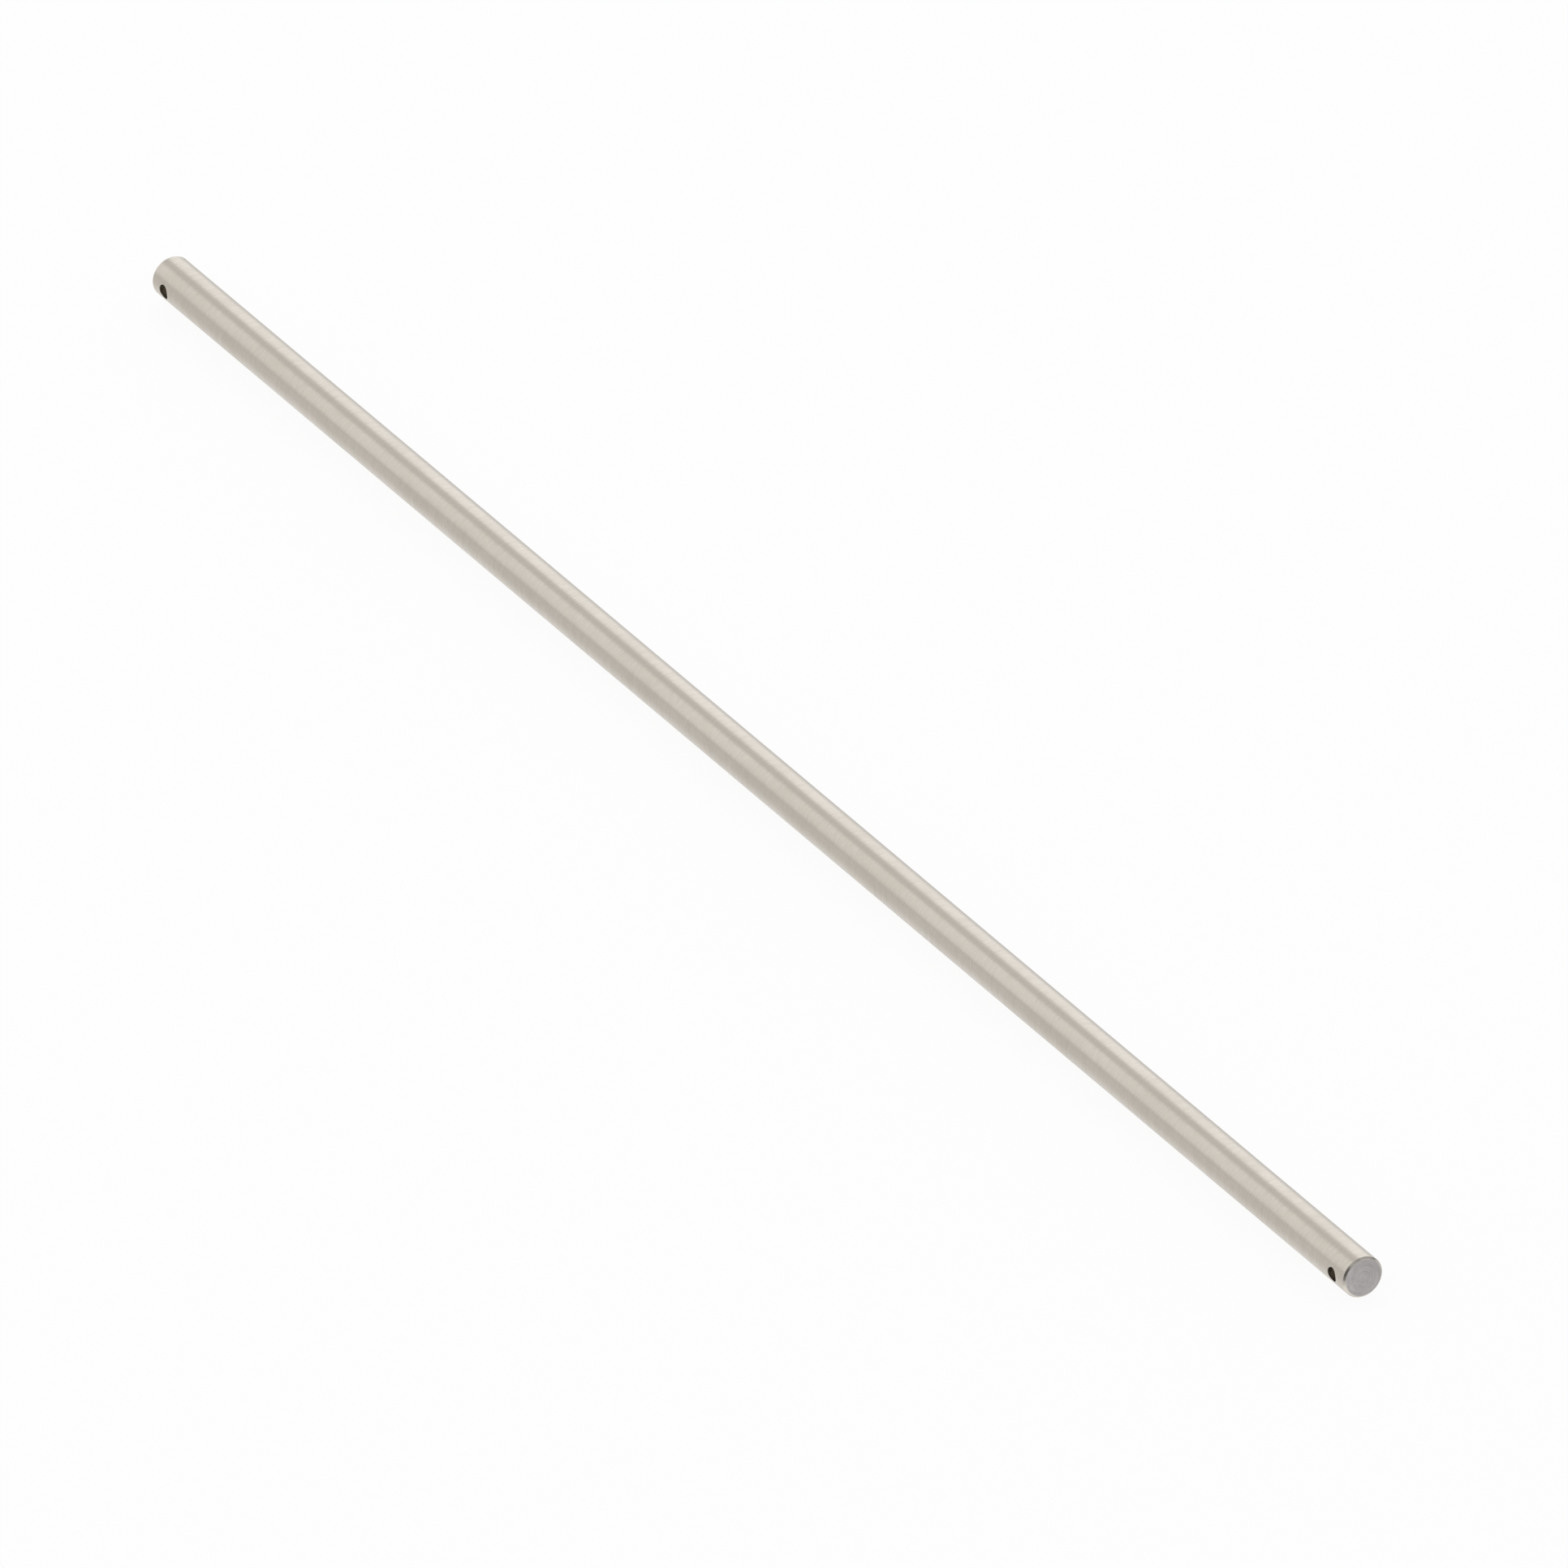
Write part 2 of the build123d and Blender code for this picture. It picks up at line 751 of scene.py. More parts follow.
@dataclass
class CrossDrilledShaft:
    """The whole shaft: one bar, turned at both ends and drilled across near each.

    Attributes:
        sizes: The shaft's sizes.
        side_steps: Faces along each quarter of the round side.
        patch_half_width: Half the length of the square patch of skin round each hole's mouth.
        patch_rings: Rings of faces from a mouth to the rim of its patch.
        barrel_steps: Faces along the plain middle of the bar.
        collar_steps: Faces from the rim of a patch to the end's chamfer.
        chamfer_steps: Faces along the end's chamfer.
        face_rings: Rings of faces on each end.
        wall_steps: Faces along each drilled hole.
        coat_margin: From the edge of a finish to the line that picks it, as a share of a chamfer.
        weld: Points closer than this are one.
        crisp_turn: Faces that meet at more than this angle make a crisp edge.
        smooth_turn: Faces that meet at less than this angle are one smooth surface.
        edge_ease: Width of the hair that is taken off each crisp edge.
        effects: The shader node groups that the finishes share.
    """

    sizes: ShaftSizes
    side_steps: int = 24
    patch_half_width: float = 4 * MM
    patch_rings: int = 14
    barrel_steps: int = 40
    collar_steps: int = 8
    chamfer_steps: int = 1
    face_rings: int = 12
    wall_steps: int = 16
    coat_margin: float = 0.25
    weld: float = 0.001 * MM
    crisp_turn: float = math.radians(15)
    smooth_turn: float = math.radians(8)
    edge_ease: float = 0.04 * MM
    effects: SurfaceEffects = field(default_factory=SurfaceEffects.make)

    def build(self) -> bpy.types.Object:
        """Grows the shaft's mesh and dresses it.

        Returns:
            The finished object, at the origin.
        """
        shaft = bpy.data.objects.new("cross_drilled_shaft", bpy.data.meshes.new("seed"))
        bpy.context.scene.collection.objects.link(shaft)
        whole = self._whole_shaft()
        modifier = shaft.modifiers.new("grow", "NODES")
        modifier.node_group = whole.nodes
        self._set_inputs(modifier, whole)
        self._keep_result(shaft)
        self._close_up(shaft.data)
        self._ease_edges(shaft)
        finishes = [finish for finish in shaft.data.materials if finish]
        LOG.info("%s: %d faces, %d finishes", shaft.name, len(shaft.data.polygons), len(finishes))
        return shaft

    @staticmethod
    def _keep_result(shaft: bpy.types.Object) -> None:
        """Turns what the object's modifiers make into its plain mesh, and takes them off.

        Args:
            shaft: The object with its modifiers.
        """
        evaluated = shaft.evaluated_get(bpy.context.evaluated_depsgraph_get())
        mesh = bpy.data.meshes.new_from_object(evaluated)
        mesh.name = shaft.name
        shaft.modifiers.clear()
        shaft.data = mesh

    def _ease_edges(self, shaft: bpy.types.Object) -> None:
        """Takes a hair off the crisp edges, as off every real edge, and keeps the flats flat.

        Args:
            shaft: The object with the closed mesh.
        """
        easing = shaft.modifiers.new("easing", "BEVEL")
        easing.width = self.edge_ease
        easing.segments = 1
        easing.limit_method = "ANGLE"
        easing.angle_limit = self.crisp_turn
        self._keep_result(shaft)
        self._finish_rims(shaft.data)
        shaft.data.set_sharp_from_angle(angle=self.smooth_turn)

    def _finish_rims(self, mesh: bpy.types.Mesh) -> None:
        """Gives the eased rim of each mouth the finish of its hole, all the way round, so that the rim
        takes the hole's painted shade too.

        Args:
            mesh: The mesh with its edges eased.
        """
        drilled = mesh.materials.find(DRILLED_HOLE.name)
        rim = self.sizes.hole_radius + self.sizes.edge_break + self.edge_ease / 2
        for face in mesh.polygons:
            if math.hypot(abs(face.center.x) - self.sizes.hole_station, face.center.z) < rim:
                face.material_index = drilled

    def _set_inputs(self, modifier: bpy.types.Modifier, whole: Tree) -> None:
        """Sets the tree's named inputs on the modifier, by their identifiers.

        Args:
            modifier: The Geometry Nodes modifier.
            whole: The tree that it runs.
        """
        sizes = self.sizes
        values = {
            "Half Length": sizes.length / 2,
            "Shaft Radius": sizes.radius,
            "End Chamfer": sizes.end_chamfer,
            "Hole Radius": sizes.hole_radius,
            "Hole Station": sizes.hole_station,
            "Edge Break": sizes.edge_break,
            "Patch Half Width": self.patch_half_width,
            "Side Steps": self.side_steps,
        }
        for item in whole.nodes.interface.items_tree:
            if item.in_out == "INPUT":
                modifier[item.identifier] = values[item.name]

    def _close_up(self, mesh: bpy.types.Mesh) -> None:
        """Welds the mesh, points its faces outwards and shades it smooth.

        Args:
            mesh: The grown mesh.
        """
        work = bmesh.new()
        work.from_mesh(mesh)
        bmesh.ops.remove_doubles(work, verts=work.verts, dist=self.weld)
        bmesh.ops.recalc_face_normals(work, faces=work.faces)
        work.to_mesh(mesh)
        work.free()
        mesh.shade_smooth()

    @staticmethod
    def _take_sizes(tree: Tree) -> dict[str, Number]:
        """Gives a group one input for each size that the shaft grows from.

        Args:
            tree: The group's tree.

        Returns:
            The inputs by their names, always in the same order.
        """
        lengths = ("Half Length", "Shaft Radius", "End Chamfer", "Hole Radius")
        places = ("Hole Station", "Edge Break", "Patch Half Width")
        taken = {name: tree.take(name) for name in lengths + places}
        taken["Side Steps"] = tree.take("Side Steps", SocketKind.COUNT)
        return taken

    @staticmethod
    def _sheet(tree: Tree, along: Value, around: Value) -> tuple[Number, Number, Number]:
        """Adds a flat grid that is to be bent into a piece of the surface.

        Args:
            tree: The tree to add it to.
            along: Faces one way.
            around: Faces the other way.

        Returns:
            The grid, and each point's two places on it, from 0 to 1.
        """
        grid = tree.add("GeometryNodeMeshGrid", {"Size X": 1.0, "Size Y": 1.0})
        tree.feed(grid.inputs["Vertices X"], along + 1)
        tree.feed(grid.inputs["Vertices Y"], around + 1)
        x, y, _ = tree.split(tree.out(tree.add("GeometryNodeInputPosition")))
        return tree.out(grid, "Mesh"), x + 0.5, y + 0.5

    @staticmethod
    def _bend(tree: Tree, sheet: Number, x: Number, y: Number, z: Number) -> None:
        """Moves a grid's points to their places and gives the result out of the group."""
        moved = tree.add("GeometryNodeSetPosition", {"Geometry": sheet, "Position": tree.vector(x, y, z)})
        tree.give("Mesh", tree.out(moved), SocketKind.GEOMETRY)

    @staticmethod
    def _skin(tree: Tree, radius: Number, height: Number) -> Number:
        """How far the round side lies from the shaft's upright middle plane at a height."""
        return tree.math("SQRT", radius * radius - height * height)

    @staticmethod
    def _round_the_square(tree: Tree, share: Number) -> tuple[Number, Number, Number, Number]:
        """Walks once round a square, and round the circle inside it in step.

        Args:
            tree: The tree to add it to.
            share: How far the walk has gone, from 0 to 1.

        Returns:
            The two places on the square of half width 1, and the two on the circle of radius 1.
        """
        sides_gone = share * QUARTERS
        side = tree.math("MINIMUM", tree.math("FLOOR", sides_gone), QUARTERS - 1)
        step = (sides_gone - side) * 2 - 1
        turn = {"Vector": tree.vector(1.0, step, 0.0), "Angle": side * QUARTER_TURN}
        corner = tree.out(tree.add("ShaderNodeVectorRotate", turn, rotation_type="Z_AXIS"))
        ray = tree.out(tree.add("ShaderNodeVectorMath", {0: corner}, operation="NORMALIZE"))
        square_x, square_y, _ = tree.split(corner)
        circle_x, circle_y, _ = tree.split(ray)
        return square_x, square_y, circle_x, circle_y

    def _turned_band(self) -> Tree:
        """A band of the turned surface, from one station and radius to another.

        Returns:
            The group.
        """
        tree = Tree.group("turned_band", TreeKind.GEOMETRY)
        start, start_radius = tree.take("Start"), tree.take("Start Radius")
        end, end_radius = tree.take("End"), tree.take("End Radius")
        first_angle, sweep = tree.take("First Angle"), tree.take("Sweep")
        along, around = tree.take("Along", SocketKind.COUNT), tree.take("Around", SocketKind.COUNT)
        sheet, u, v = self._sheet(tree, along, around)
        x = tree.blend(start, end, u)
        radius = tree.blend(start_radius, end_radius, u)
        angle = first_angle + sweep * v
        y = radius * tree.math("COSINE", angle)
        z = radius * tree.math("SINE", angle)
        self._bend(tree, sheet, x, y, z)
        return tree

    def _mouth_patch(self) -> Tree:
        """A quarter of the round side whose faces run in rings from a mouth to a square rim.

        Returns:
            The group.
        """
        tree = Tree.group("mouth_patch", TreeKind.GEOMETRY)
        station, half_width = tree.take("Station"), tree.take("Half Width")
        shaft_radius, mouth_radius = tree.take("Shaft Radius"), tree.take("Mouth Radius")
        facing, steps = tree.take("Facing"), tree.take("Side Steps", SocketKind.COUNT)
        sheet, u, v = self._sheet(tree, self.patch_rings, steps * QUARTERS)
        square_x, square_y, circle_x, circle_y = self._round_the_square(tree, v)
        mouth_angle = tree.math("ARCSINE", mouth_radius * circle_y / shaft_radius)
        rim_angle = square_y * EIGHTH_TURN
        x = tree.blend(mouth_radius * circle_x, half_width * square_x, u) + station
        angle = tree.blend(mouth_angle, rim_angle, u) + facing
        y = shaft_radius * tree.math("COSINE", angle)
        z = shaft_radius * tree.math("SINE", angle)
        self._bend(tree, sheet, x, y, z)
        return tree

    def _mouth_break(self) -> Tree:
        """The small chamfer round a hole's mouth, from the round side down to the hole's wall.

        Returns:
            The group.
        """
        tree = Tree.group("mouth_break", TreeKind.GEOMETRY)
        station, side = tree.take("Station"), tree.take("Side")
        shaft_radius, hole_radius = tree.take("Shaft Radius"), tree.take("Hole Radius")
        edge_break, steps = tree.take("Edge Break"), tree.take("Side Steps", SocketKind.COUNT)
        sheet, u, v = self._sheet(tree, 1, steps * QUARTERS)
        _, _, circle_x, circle_y = self._round_the_square(tree, v)
        radius = hole_radius + edge_break * (1.0 - u)
        z = radius * circle_y
        y = side * (self._skin(tree, shaft_radius, z) - edge_break * u)
        self._bend(tree, sheet, station + radius * circle_x, y, z)
        return tree

    def _hole_wall(self) -> Tree:
        """The drilled wall of a cross hole, from one broken mouth to the other.

        Returns:
            The group.
        """
        tree = Tree.group("hole_wall", TreeKind.GEOMETRY)
        station, steps = tree.take("Station"), tree.take("Side Steps", SocketKind.COUNT)
        shaft_radius, hole_radius = tree.take("Shaft Radius"), tree.take("Hole Radius")
        edge_break = tree.take("Edge Break")
        sheet, u, v = self._sheet(tree, self.wall_steps, steps * QUARTERS)
        _, _, circle_x, circle_y = self._round_the_square(tree, v)
        z = hole_radius * circle_y
        reach = self._skin(tree, shaft_radius, z) - edge_break
        self._bend(tree, sheet, station + hole_radius * circle_x, reach * (u * 2 - 1), z)
        return tree

    def _drilled_end(self, band: Tree) -> Tree:
        """One end of the shaft: the drilled collar, the chamfer and the face.

        Args:
            band: The group that makes a turned band.

        Returns:
            The group.
        """
        patch, mouth, wall = self._mouth_patch(), self._mouth_break(), self._hole_wall()
        tree = Tree.group("drilled_end", TreeKind.GEOMETRY)
        half_length, radius, chamfer, hole_radius, *others = self._take_sizes(tree).values()
        station, edge_break, half_width, steps = others
        face_radius, shoulder = radius - chamfer, half_length - chamfer
        inner_rim, outer_rim = station - half_width, station + half_width
        hole = {"Station": station, "Shaft Radius": radius, "Side Steps": steps}
        drilled = {**hole, "Hole Radius": hole_radius, "Edge Break": edge_break}
        spread = {**hole, "Half Width": half_width, "Mouth Radius": hole_radius + edge_break}
        plain = {"Start": inner_rim, "Start Radius": radius, "End": outer_rim, "End Radius": radius}
        quarter = {**plain, "Sweep": QUARTER_TURN, "Along": steps, "Around": steps}

        pieces = [tree.use(wall, drilled)]
        for side, facing in ((1.0, 0.0), (-1.0, HALF_TURN)):
            pieces.append(tree.use(patch, {**spread, "Facing": facing}))
            pieces.append(tree.use(mouth, {**drilled, "Side": side}))
            pieces.append(tree.use(band, {**quarter, "First Angle": facing + EIGHTH_TURN}))

        profile = [
            (outer_rim, radius, self.collar_steps),
            (shoulder, radius, self.chamfer_steps),
            (half_length, face_radius, self.face_rings),
        ]
        stops = [*profile[1:], (half_length, 0.0, None)]
        whole_turn = {"First Angle": EIGHTH_TURN, "Sweep": FULL_TURN, "Around": steps * QUARTERS}
        for (start, start_radius, along), (end, end_radius, _) in zip(profile, stops):
            run = {"Start": start, "Start Radius": start_radius, "End": end, "End Radius": end_radius}
            pieces.append(tree.use(band, {**run, **whole_turn, "Along": along}))

        joined = tree.add("GeometryNodeJoinGeometry", {0: [tree.out(piece) for piece in pieces]})
        tree.give("Mesh", tree.out(joined), SocketKind.GEOMETRY)
        return tree

    def _whole_shaft(self) -> Tree:
        """The whole shaft: one drilled end placed twice and the barrel between them.

        Returns:
            The tree that the shaft's modifier runs.
        """
        band = self._turned_band()
        end = self._drilled_end(band)
        tree = Tree.group("whole_shaft", TreeKind.GEOMETRY)
        taken = self._take_sizes(tree)
        both_ends = self._both_ends(tree, tree.out(tree.use(end, taken)))
        barrel = self._barrel(tree, band, taken)
        joined = tree.add("GeometryNodeJoinGeometry", {0: [both_ends, barrel]})
        real = tree.out(tree.add("GeometryNodeRealizeInstances", {0: tree.out(joined)}))
        tree.give("Mesh", self._coat(tree, real, taken), SocketKind.GEOMETRY)
        return tree

    @staticmethod
    def _both_ends(tree: Tree, drilled_end: Number) -> Number:
        """Places the drilled end twice, half a turn apart.

        Args:
            tree: The tree to add it to.
            drilled_end: The end at +X.

        Returns:
            The two ends.
        """
        spots = tree.out(tree.add("GeometryNodeMeshLine", {"Count": 2, "Offset": (0.0, 0.0, 0.0)}))
        half_turns = tree.out(tree.add("GeometryNodeInputIndex")) * HALF_TURN
        turned = tree.vector(0.0, 0.0, half_turns)
        inputs = {"Points": spots, "Instance": drilled_end, "Rotation": turned}
        return tree.out(tree.add("GeometryNodeInstanceOnPoints", inputs))

    def _barrel(self, tree: Tree, band: Tree, taken: dict[str, Number]) -> Number:
        """The plain middle of the bar, between the two drilled ends.

        Args:
            tree: The tree to add it to.
            band: The group that makes a turned band.
            taken: The tree's inputs, by their names.

        Returns:
            The barrel's mesh.
        """
        radius = taken["Shaft Radius"]
        rim = taken["Hole Station"] - taken["Patch Half Width"]
        run = {"Start": 0.0 - rim, "Start Radius": radius, "End": rim, "End Radius": radius}
        steps = {"Along": self.barrel_steps, "Around": taken["Side Steps"] * QUARTERS}
        whole_turn = {"First Angle": EIGHTH_TURN, "Sweep": FULL_TURN}
        return tree.out(tree.use(band, {**run, **whole_turn, **steps}))

    def _coat(self, tree: Tree, bare: Number, taken: dict[str, Number]) -> Number:
        """Gives each part of the surface its finish; the broken mouths share that of the holes.

        Args:
            tree: The tree to add it to.
            bare: The mesh without finishes.
            taken: The tree's inputs, by their names.

        Returns:
            The mesh with its finishes.
        """
        x, _, z = tree.split(tree.out(tree.add("GeometryNodeInputPosition")))
        half_length, chamfer = taken["Half Length"], taken["End Chamfer"]
        face_border = half_length - chamfer * self.coat_margin
        from_hole = tree.hypot(abs(x) - taken["Hole Station"], z)
        mouth_border = taken["Hole Radius"] + taken["Edge Break"] * (1 - self.coat_margin)
        coats = (
            (GROUND_SIDE, True),
            (TURNED_CHAMFER, tree.math("GREATER_THAN", abs(x), half_length - chamfer)),
            (TURNED_END, tree.math("GREATER_THAN", abs(x), face_border)),
            (DRILLED_HOLE, tree.math("LESS_THAN", from_hole, mouth_border)),
        )
        coated = bare
        for finish, where in coats:
            material = finish.material(self.sizes, self.effects)
            inputs = {"Geometry": coated, "Selection": where, "Material": material}
            coated = tree.out(tree.add("GeometryNodeSetMaterial", inputs))
        return coated


@dataclass(frozen=True)
class PhotoView:
    """The camera of the photograph, which stands far off, so the bar's edges stay parallel.

    Attributes:
        azimuth: Round the object, in degrees; 0 looks along +Y and 90 along -X.
        elevation: Above the horizon, in degrees.
        roll: How far the camera leans over, in degrees.
        aim: What the middle of the picture looks at, to the right and up from the origin.
        width: Width of the picture at the object, in metres.
        lens: Focal length, in millimetres.
        nearest: Where the picture starts, as a share of the distance to the object.
        furthest: Where it ends, in such distances.
    """

    azimuth: float = 63.545
    elevation: float = 31.05
    roll: float = -5.989
    aim: tuple[float, float] = (6.93 * MM, -4.03 * MM)
    width: float = 419.66 * MM
    lens: float = 1400.0
    nearest: float = 0.01
    furthest: float = 10.0

    def build(self) -> None:
        """Places the camera and makes it the scene's own."""
        data = bpy.data.cameras.new("photo_camera")
        data.lens = self.lens
        half_view = math.atan(data.sensor_width / 2 / data.lens)
        distance = self.width / 2 / math.tan(half_view)
        data.clip_start = distance * self.nearest
        data.clip_end = distance * self.furthest
        camera = bpy.data.objects.new("photo_camera", data)
        bpy.context.scene.collection.objects.link(camera)
        lean = Matrix.Rotation(math.radians(self.roll), 4, "Z")
        tip = Matrix.Rotation(math.radians(90 - self.elevation), 4, "X")
        turn = Matrix.Rotation(math.radians(self.azimuth), 4, "Z")
        camera.matrix_world = turn @ tip @ lean @ Matrix.Translation((*self.aim, distance))
        bpy.context.scene.camera = camera
        LOG.info("camera: %.2f m away", distance)


@dataclass(frozen=True)
class LampSide:
    """Where the soft boxes on one side of the bar hang, and the light that they give.

    Attributes:
        low_edge: Angle of a lower edge about the bar, from the zenith towards +Y, in degrees.
        high_edge: Angle of an upper edge, measured the same way.
        distance: From the bar to a lamp's face, in metres.
        brightness: What a face adds to the light of the room behind it, where 1 is white.
        tint: The colour of the light.
    """

    low_edge: float
    high_edge: float
    distance: float
    brightness: float
    tint: tuple[float, float, float]


@dataclass(frozen=True)
class SoftBox:
    """A long soft lamp that lies beside the bar and parallel to it.

    Attributes:
        name: The lamp's name.
        side: The side of the bar that it hangs on.
        start: Where its far end lies along X, in metres.
        end: Where its other end lies along X, in metres.
    """

    name: str
    side: LampSide
    start: float
    end: float

    def build(self) -> None:
        """Hangs the lamp."""
        side = self.side
        middle = math.radians((side.low_edge + side.high_edge) / 2)
        half_angle = abs(math.radians(side.low_edge - side.high_edge)) / 2
        data = bpy.data.lights.new(self.name, "AREA")
        data.shape = "RECTANGLE"
        data.size = self.end - self.start
        data.size_y = 2 * side.distance * math.tan(half_angle)
        data.energy = side.brightness * math.pi * data.size * data.size_y
        data.color = side.tint
        lamp = bpy.data.objects.new(self.name, data)
        bpy.context.scene.collection.objects.link(lamp)
        centre = Matrix.Translation(((self.start + self.end) / 2, 0, 0))
        swing = Matrix.Rotation(-middle, 4, "X")
        lamp.matrix_world = centre @ swing @ Matrix.Translation((0, 0, side.distance))
        LOG.info("%s: %.1f by %.1f m", self.name, data.size, data.size_y)


@dataclass(frozen=True)
class Shade:
    """A part of the room that less light falls on.

    Attributes:
        towards: Direction of its middle from the shaft, of length 1.
        start: Cosine of the angle from its middle at which it starts.
        full: Cosine of the angle at which it is full.
        taken: The light that it takes away there.
    """

    towards: tuple[float, float, float]
    start: float
    full: float
    taken: float

    def light(self, tree: Tree, outward: Number) -> Number:
        """The light that the shade takes away.

        Args:
            tree: The room's tree.
            outward: The direction that is looked in.

        Returns:
            The light that is taken away in that direction.
        """
        inputs = {0: outward, 1: self.towards}
        towards = tree.add("ShaderNodeVectorMath", inputs, operation="DOT_PRODUCT")
        return tree.ramp(tree.out(towards, "Value"), self.start, self.full) * self.taken


@dataclass(frozen=True)
class PaintedFloorLight:
    """A patch of painted light on the floor, or of painted shade where its glow is below 0, which only
    shows as the steel mirrors it.

    Attributes:
        along: Where it starts and ends along X, in metres.
        across: Where it starts and ends along Y, in metres.
        soft: How far its edges fade, in metres.
        glow: What it adds to the light of the floor there, or takes away if below 0.
    """

    along: tuple[float, float]
    across: tuple[float, float]
    soft: float
    glow: float

    def light(self, tree: Tree, x: Number, y: Number) -> Number:
        """The painted light that the patch adds to the floor.

        Args:
            tree: The floor's tree.
            x: A point's place along X.
            y: Its place along Y.

        Returns:
            The light that is added at that point.
        """
        return self._between(tree, x, *self.along) * self._between(tree, y, *self.across) * self.glow

    def _between(self, tree: Tree, place: Number, start: float, end: float) -> Number:
        """A mask that is 1 between two places and fades to 0 past them."""
        begun = tree.ramp(place, start - self.soft, start)
        return begun * (1.0 - tree.ramp(place, end, end + self.soft))


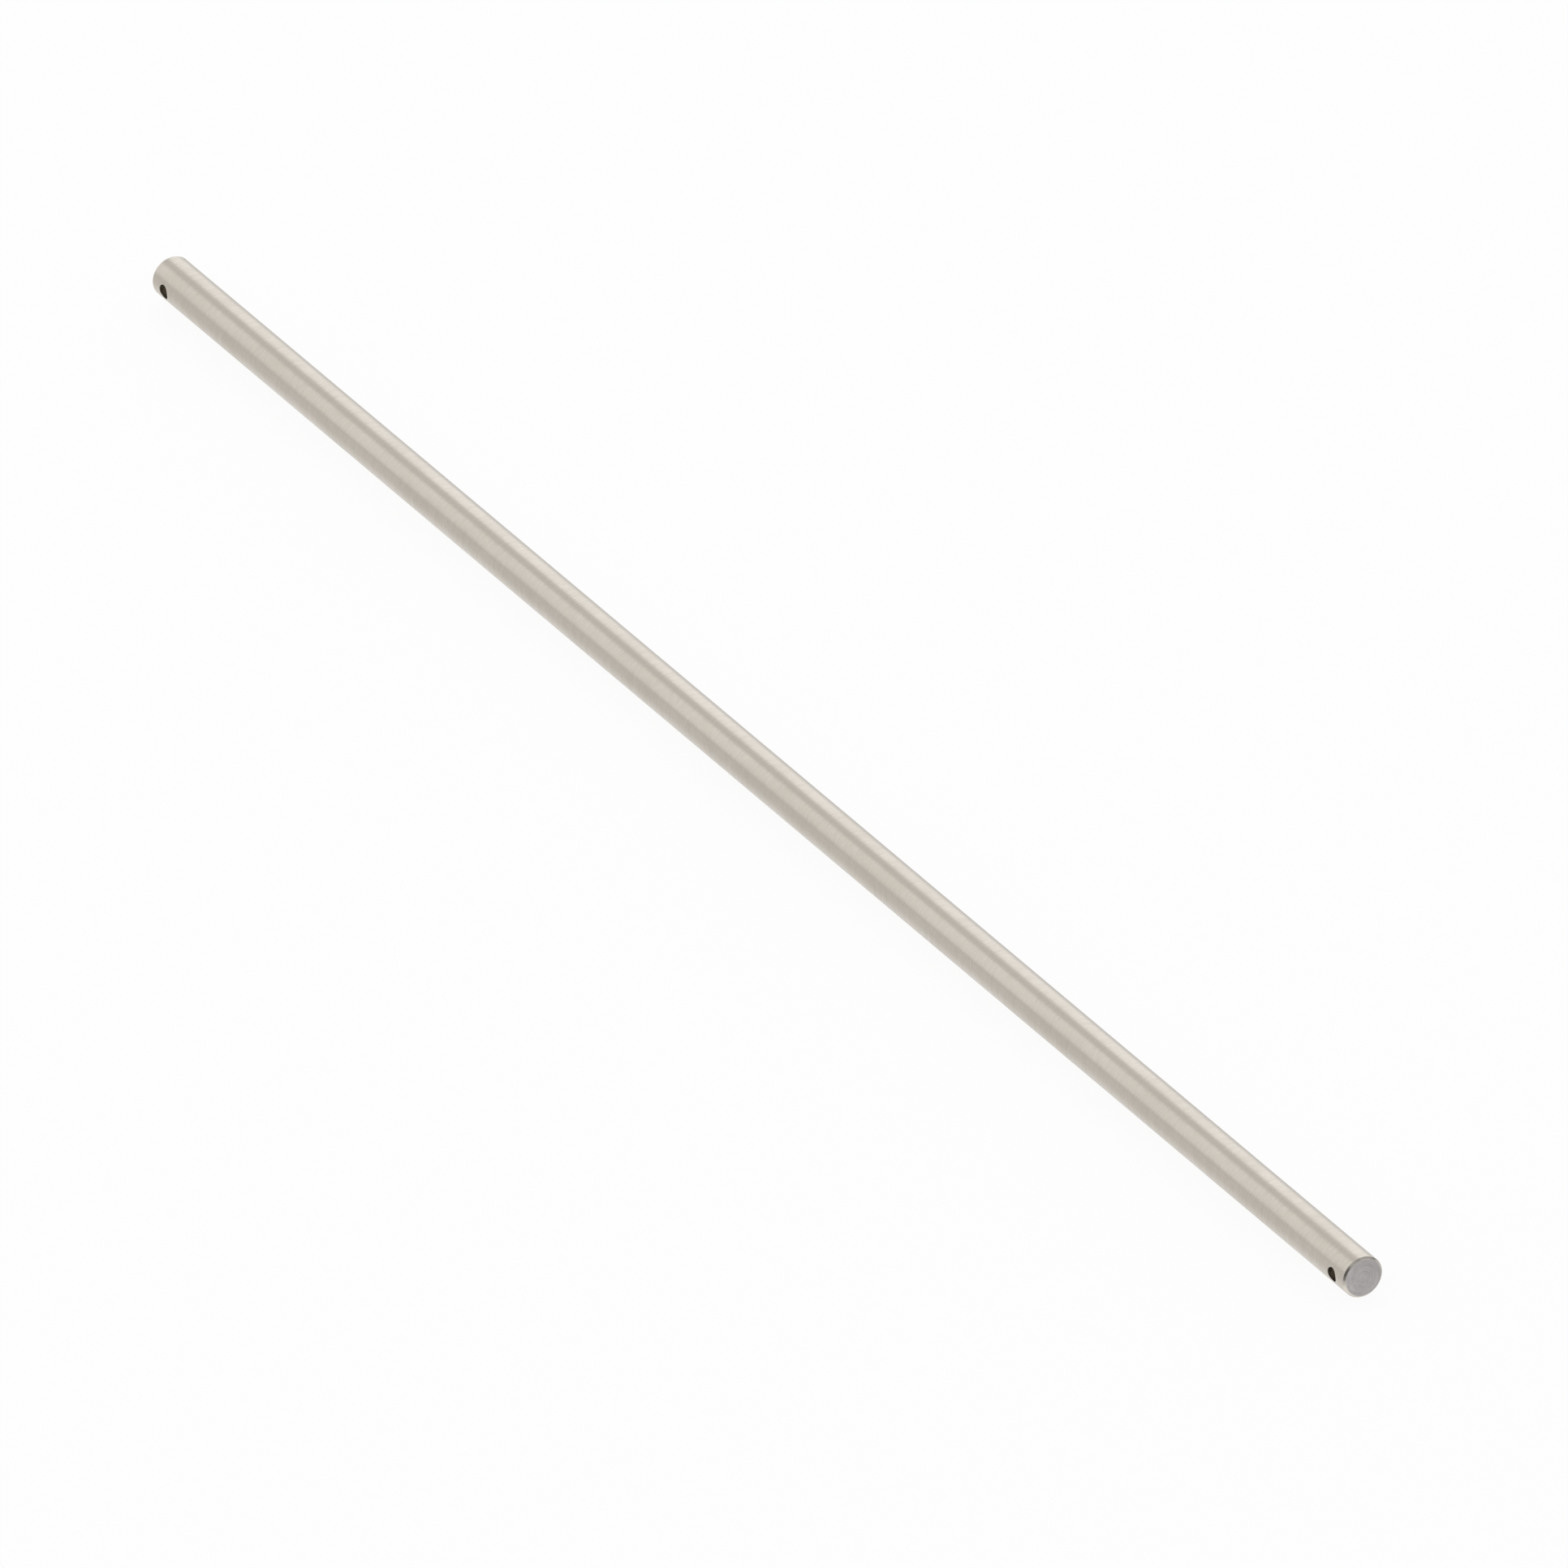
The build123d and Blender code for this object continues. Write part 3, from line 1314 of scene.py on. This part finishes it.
@dataclass(frozen=True)
class Studio:
    """The pale floor, the white room round it and the long soft boxes.

    Attributes:
        floor_level: Height of the floor, which the shaft lies on.
        floor_half_width: Half the width of the floor, in metres.
        floor_white: How pale the floor is.
        seen_white: Share of plain white in what the camera sees of the floor.
        seen_glow: Strength of that white.
        mirrored_white: Share of plain white in what steel mirrors of it.
        mirrored_glow: Strength of that white.
        pool_glow: How much stronger it is in a painted pool of light on the floor beside the shaft.
        pool_edges: Distances from the shaft at which the pool starts to fade and is gone.
        room_light: Brightness of the room's light, where 1 is white.
    """

    floor_level: float
    floor_half_width: float = 60.0
    floor_white: float = 0.82
    seen_white: float = 0.88
    seen_glow: float = 1.04
    mirrored_white: float = 0.85
    mirrored_glow: float = 0.76
    pool_glow: float = 0.22
    pool_edges: tuple[float, float] = (4 * MM, 17 * MM)
    room_light: float = 0.7

    def build(self) -> None:
        """Makes the floor, the room and the lamps."""
        self._floor()
        self._room()
        for box in SOFT_BOXES:
            box.build()

    def _floor(self) -> None:
        """Lays the floor."""
        mesh = bpy.data.meshes.new("floor")
        half = self.floor_half_width
        corners = [(-half, -half), (half, -half), (half, half), (-half, half)]
        mesh.from_pydata([(x, y, self.floor_level) for x, y in corners], [], [(0, 1, 2, 3)])
        floor = bpy.data.objects.new("floor", mesh)
        bpy.context.scene.collection.objects.link(floor)
        floor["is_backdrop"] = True
        mesh.materials.append(self._paper())

    def _paper(self) -> bpy.types.Material:
        """Makes the floor's pale paper, which takes the shaft's shadow.

        Returns:
            The material.
        """
        material = bpy.data.materials.new("pale_floor")
        material.use_nodes = True
        tree = Tree(material.node_tree)
        tree.nodes.nodes.remove(tree.nodes.nodes["Principled BSDF"])
        path = tree.add("ShaderNodeLightPath")
        seen, glossy = tree.out(path, "Is Camera Ray"), tree.out(path, "Is Glossy Ray")
        mirrored = tree.math("MAXIMUM", glossy, tree.out(path, "Is Transmission Ray"))
        share = seen * self.seen_white + mirrored * self.mirrored_white
        x, y, _ = tree.split(tree.out(tree.add("ShaderNodeTexCoord"), "Object"))
        # A painted pool of light on the floor beside the shaft, and the painted floor light below, both
        # only in what steel mirrors.
        pool = 1.0 - tree.ramp(abs(y), *self.pool_edges)
        mirrored_glow = pool * self.pool_glow + self.mirrored_glow
        for painted_light in PAINTED_FLOOR_LIGHTS:
            mirrored_glow = mirrored_glow + painted_light.light(tree, x, y)
        strength = tree.blend(mirrored_glow, self.seen_glow, seen)
        paper = tree.add("ShaderNodeBsdfDiffuse")
        paper.inputs["Color"].default_value = (self.floor_white,) * 3 + (1.0,)
        glow = tree.add("ShaderNodeEmission", {"Strength": strength})
        both = tree.add("ShaderNodeMixShader", {0: share, 1: tree.out(paper), 2: tree.out(glow)})
        tree.feed(tree.nodes.nodes["Material Output"].inputs["Surface"], tree.out(both))
        return material

    def _room(self) -> None:
        """Gives the world its white background and its light, which is dimmer in the shades."""
        world = bpy.data.worlds.new("white_room")
        bpy.context.scene.world = world
        world.use_nodes = True
        tree = Tree(world.node_tree)
        path = tree.add("ShaderNodeLightPath")
        outward = tree.out(tree.add("ShaderNodeTexCoord"), "Object")
        room: Value = self.room_light
        for shade in SHADES:
            room = room - shade.light(tree, outward)
        background = tree.nodes.nodes["Background"]
        background.inputs["Color"].default_value = WHITE
        seen = tree.out(path, "Is Camera Ray")
        tree.feed(background.inputs["Strength"], tree.blend(room, 1.0, seen))


FAR_SIDE = LampSide(low_edge=88, high_edge=24, distance=3.0, brightness=0.47, tint=(0.95, 0.97, 1.0))
NEAR_SIDE = LampSide(low_edge=-76, high_edge=-14, distance=3.0, brightness=0.29, tint=(1.0, 1.0, 1.0))

SOFT_BOXES = (
    SoftBox("far_soft_box", FAR_SIDE, start=-7.0, end=0.5),
    SoftBox("near_soft_box", NEAR_SIDE, start=-7.0, end=1.8),
    SoftBox("far_end_box", FAR_SIDE, start=2.4, end=7.0),
    SoftBox("near_end_box", NEAR_SIDE, start=3.4, end=7.0),
)

# Painted shade on the floor past the bar's end at +X, on the side of -Y, and a small painted bright spot
# close to that end, both seen only where the steel mirrors the floor.
PAINTED_FLOOR_LIGHTS = (
    PaintedFloorLight(along=(0.338, 2.0), across=(-2.0, -0.026), soft=0.006, glow=-0.58),
    PaintedFloorLight(along=(0.3255, 0.332), across=(-0.012, -0.003), soft=0.0015, glow=0.3),
)

# Between the two near lamps, low down.
DIM_CORNER = (0.607, -0.747, 0.271)
# Between the two far lamps, half-way up.
HIGH_GAP = (0.398, 0.684, 0.611)
# At the lower edge of the far lamps, just above the horizon.
LOW_GAP = (0.073, 0.996, 0.057)

SHADES = (
    Shade(DIM_CORNER, start=-0.1, full=0.5, taken=0.2),
    Shade(DIM_CORNER, start=0.86, full=0.98, taken=0.4),
    Shade(HIGH_GAP, start=0.7, full=0.95, taken=0.18),
    Shade(LOW_GAP, start=0.92, full=0.99, taken=0.3),
)


def main() -> None:
    """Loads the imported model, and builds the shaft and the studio."""
    logging.basicConfig(level=logging.INFO, format="%(name)s: %(message)s")
    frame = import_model()
    cad_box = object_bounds()
    sizes = ShaftSizes.from_frame(frame)
    LOG.info("sizes: %s", sizes)
    shaft = CrossDrilledShaft(sizes).build()
    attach(shaft, BODY)
    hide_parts(CAD_NODE)
    Studio(floor_level=cad_box[0].z).build()
    PhotoView().build()
    bpy.context.scene.view_settings.view_transform = "Standard"


if __name__ == "__main__":
    main()
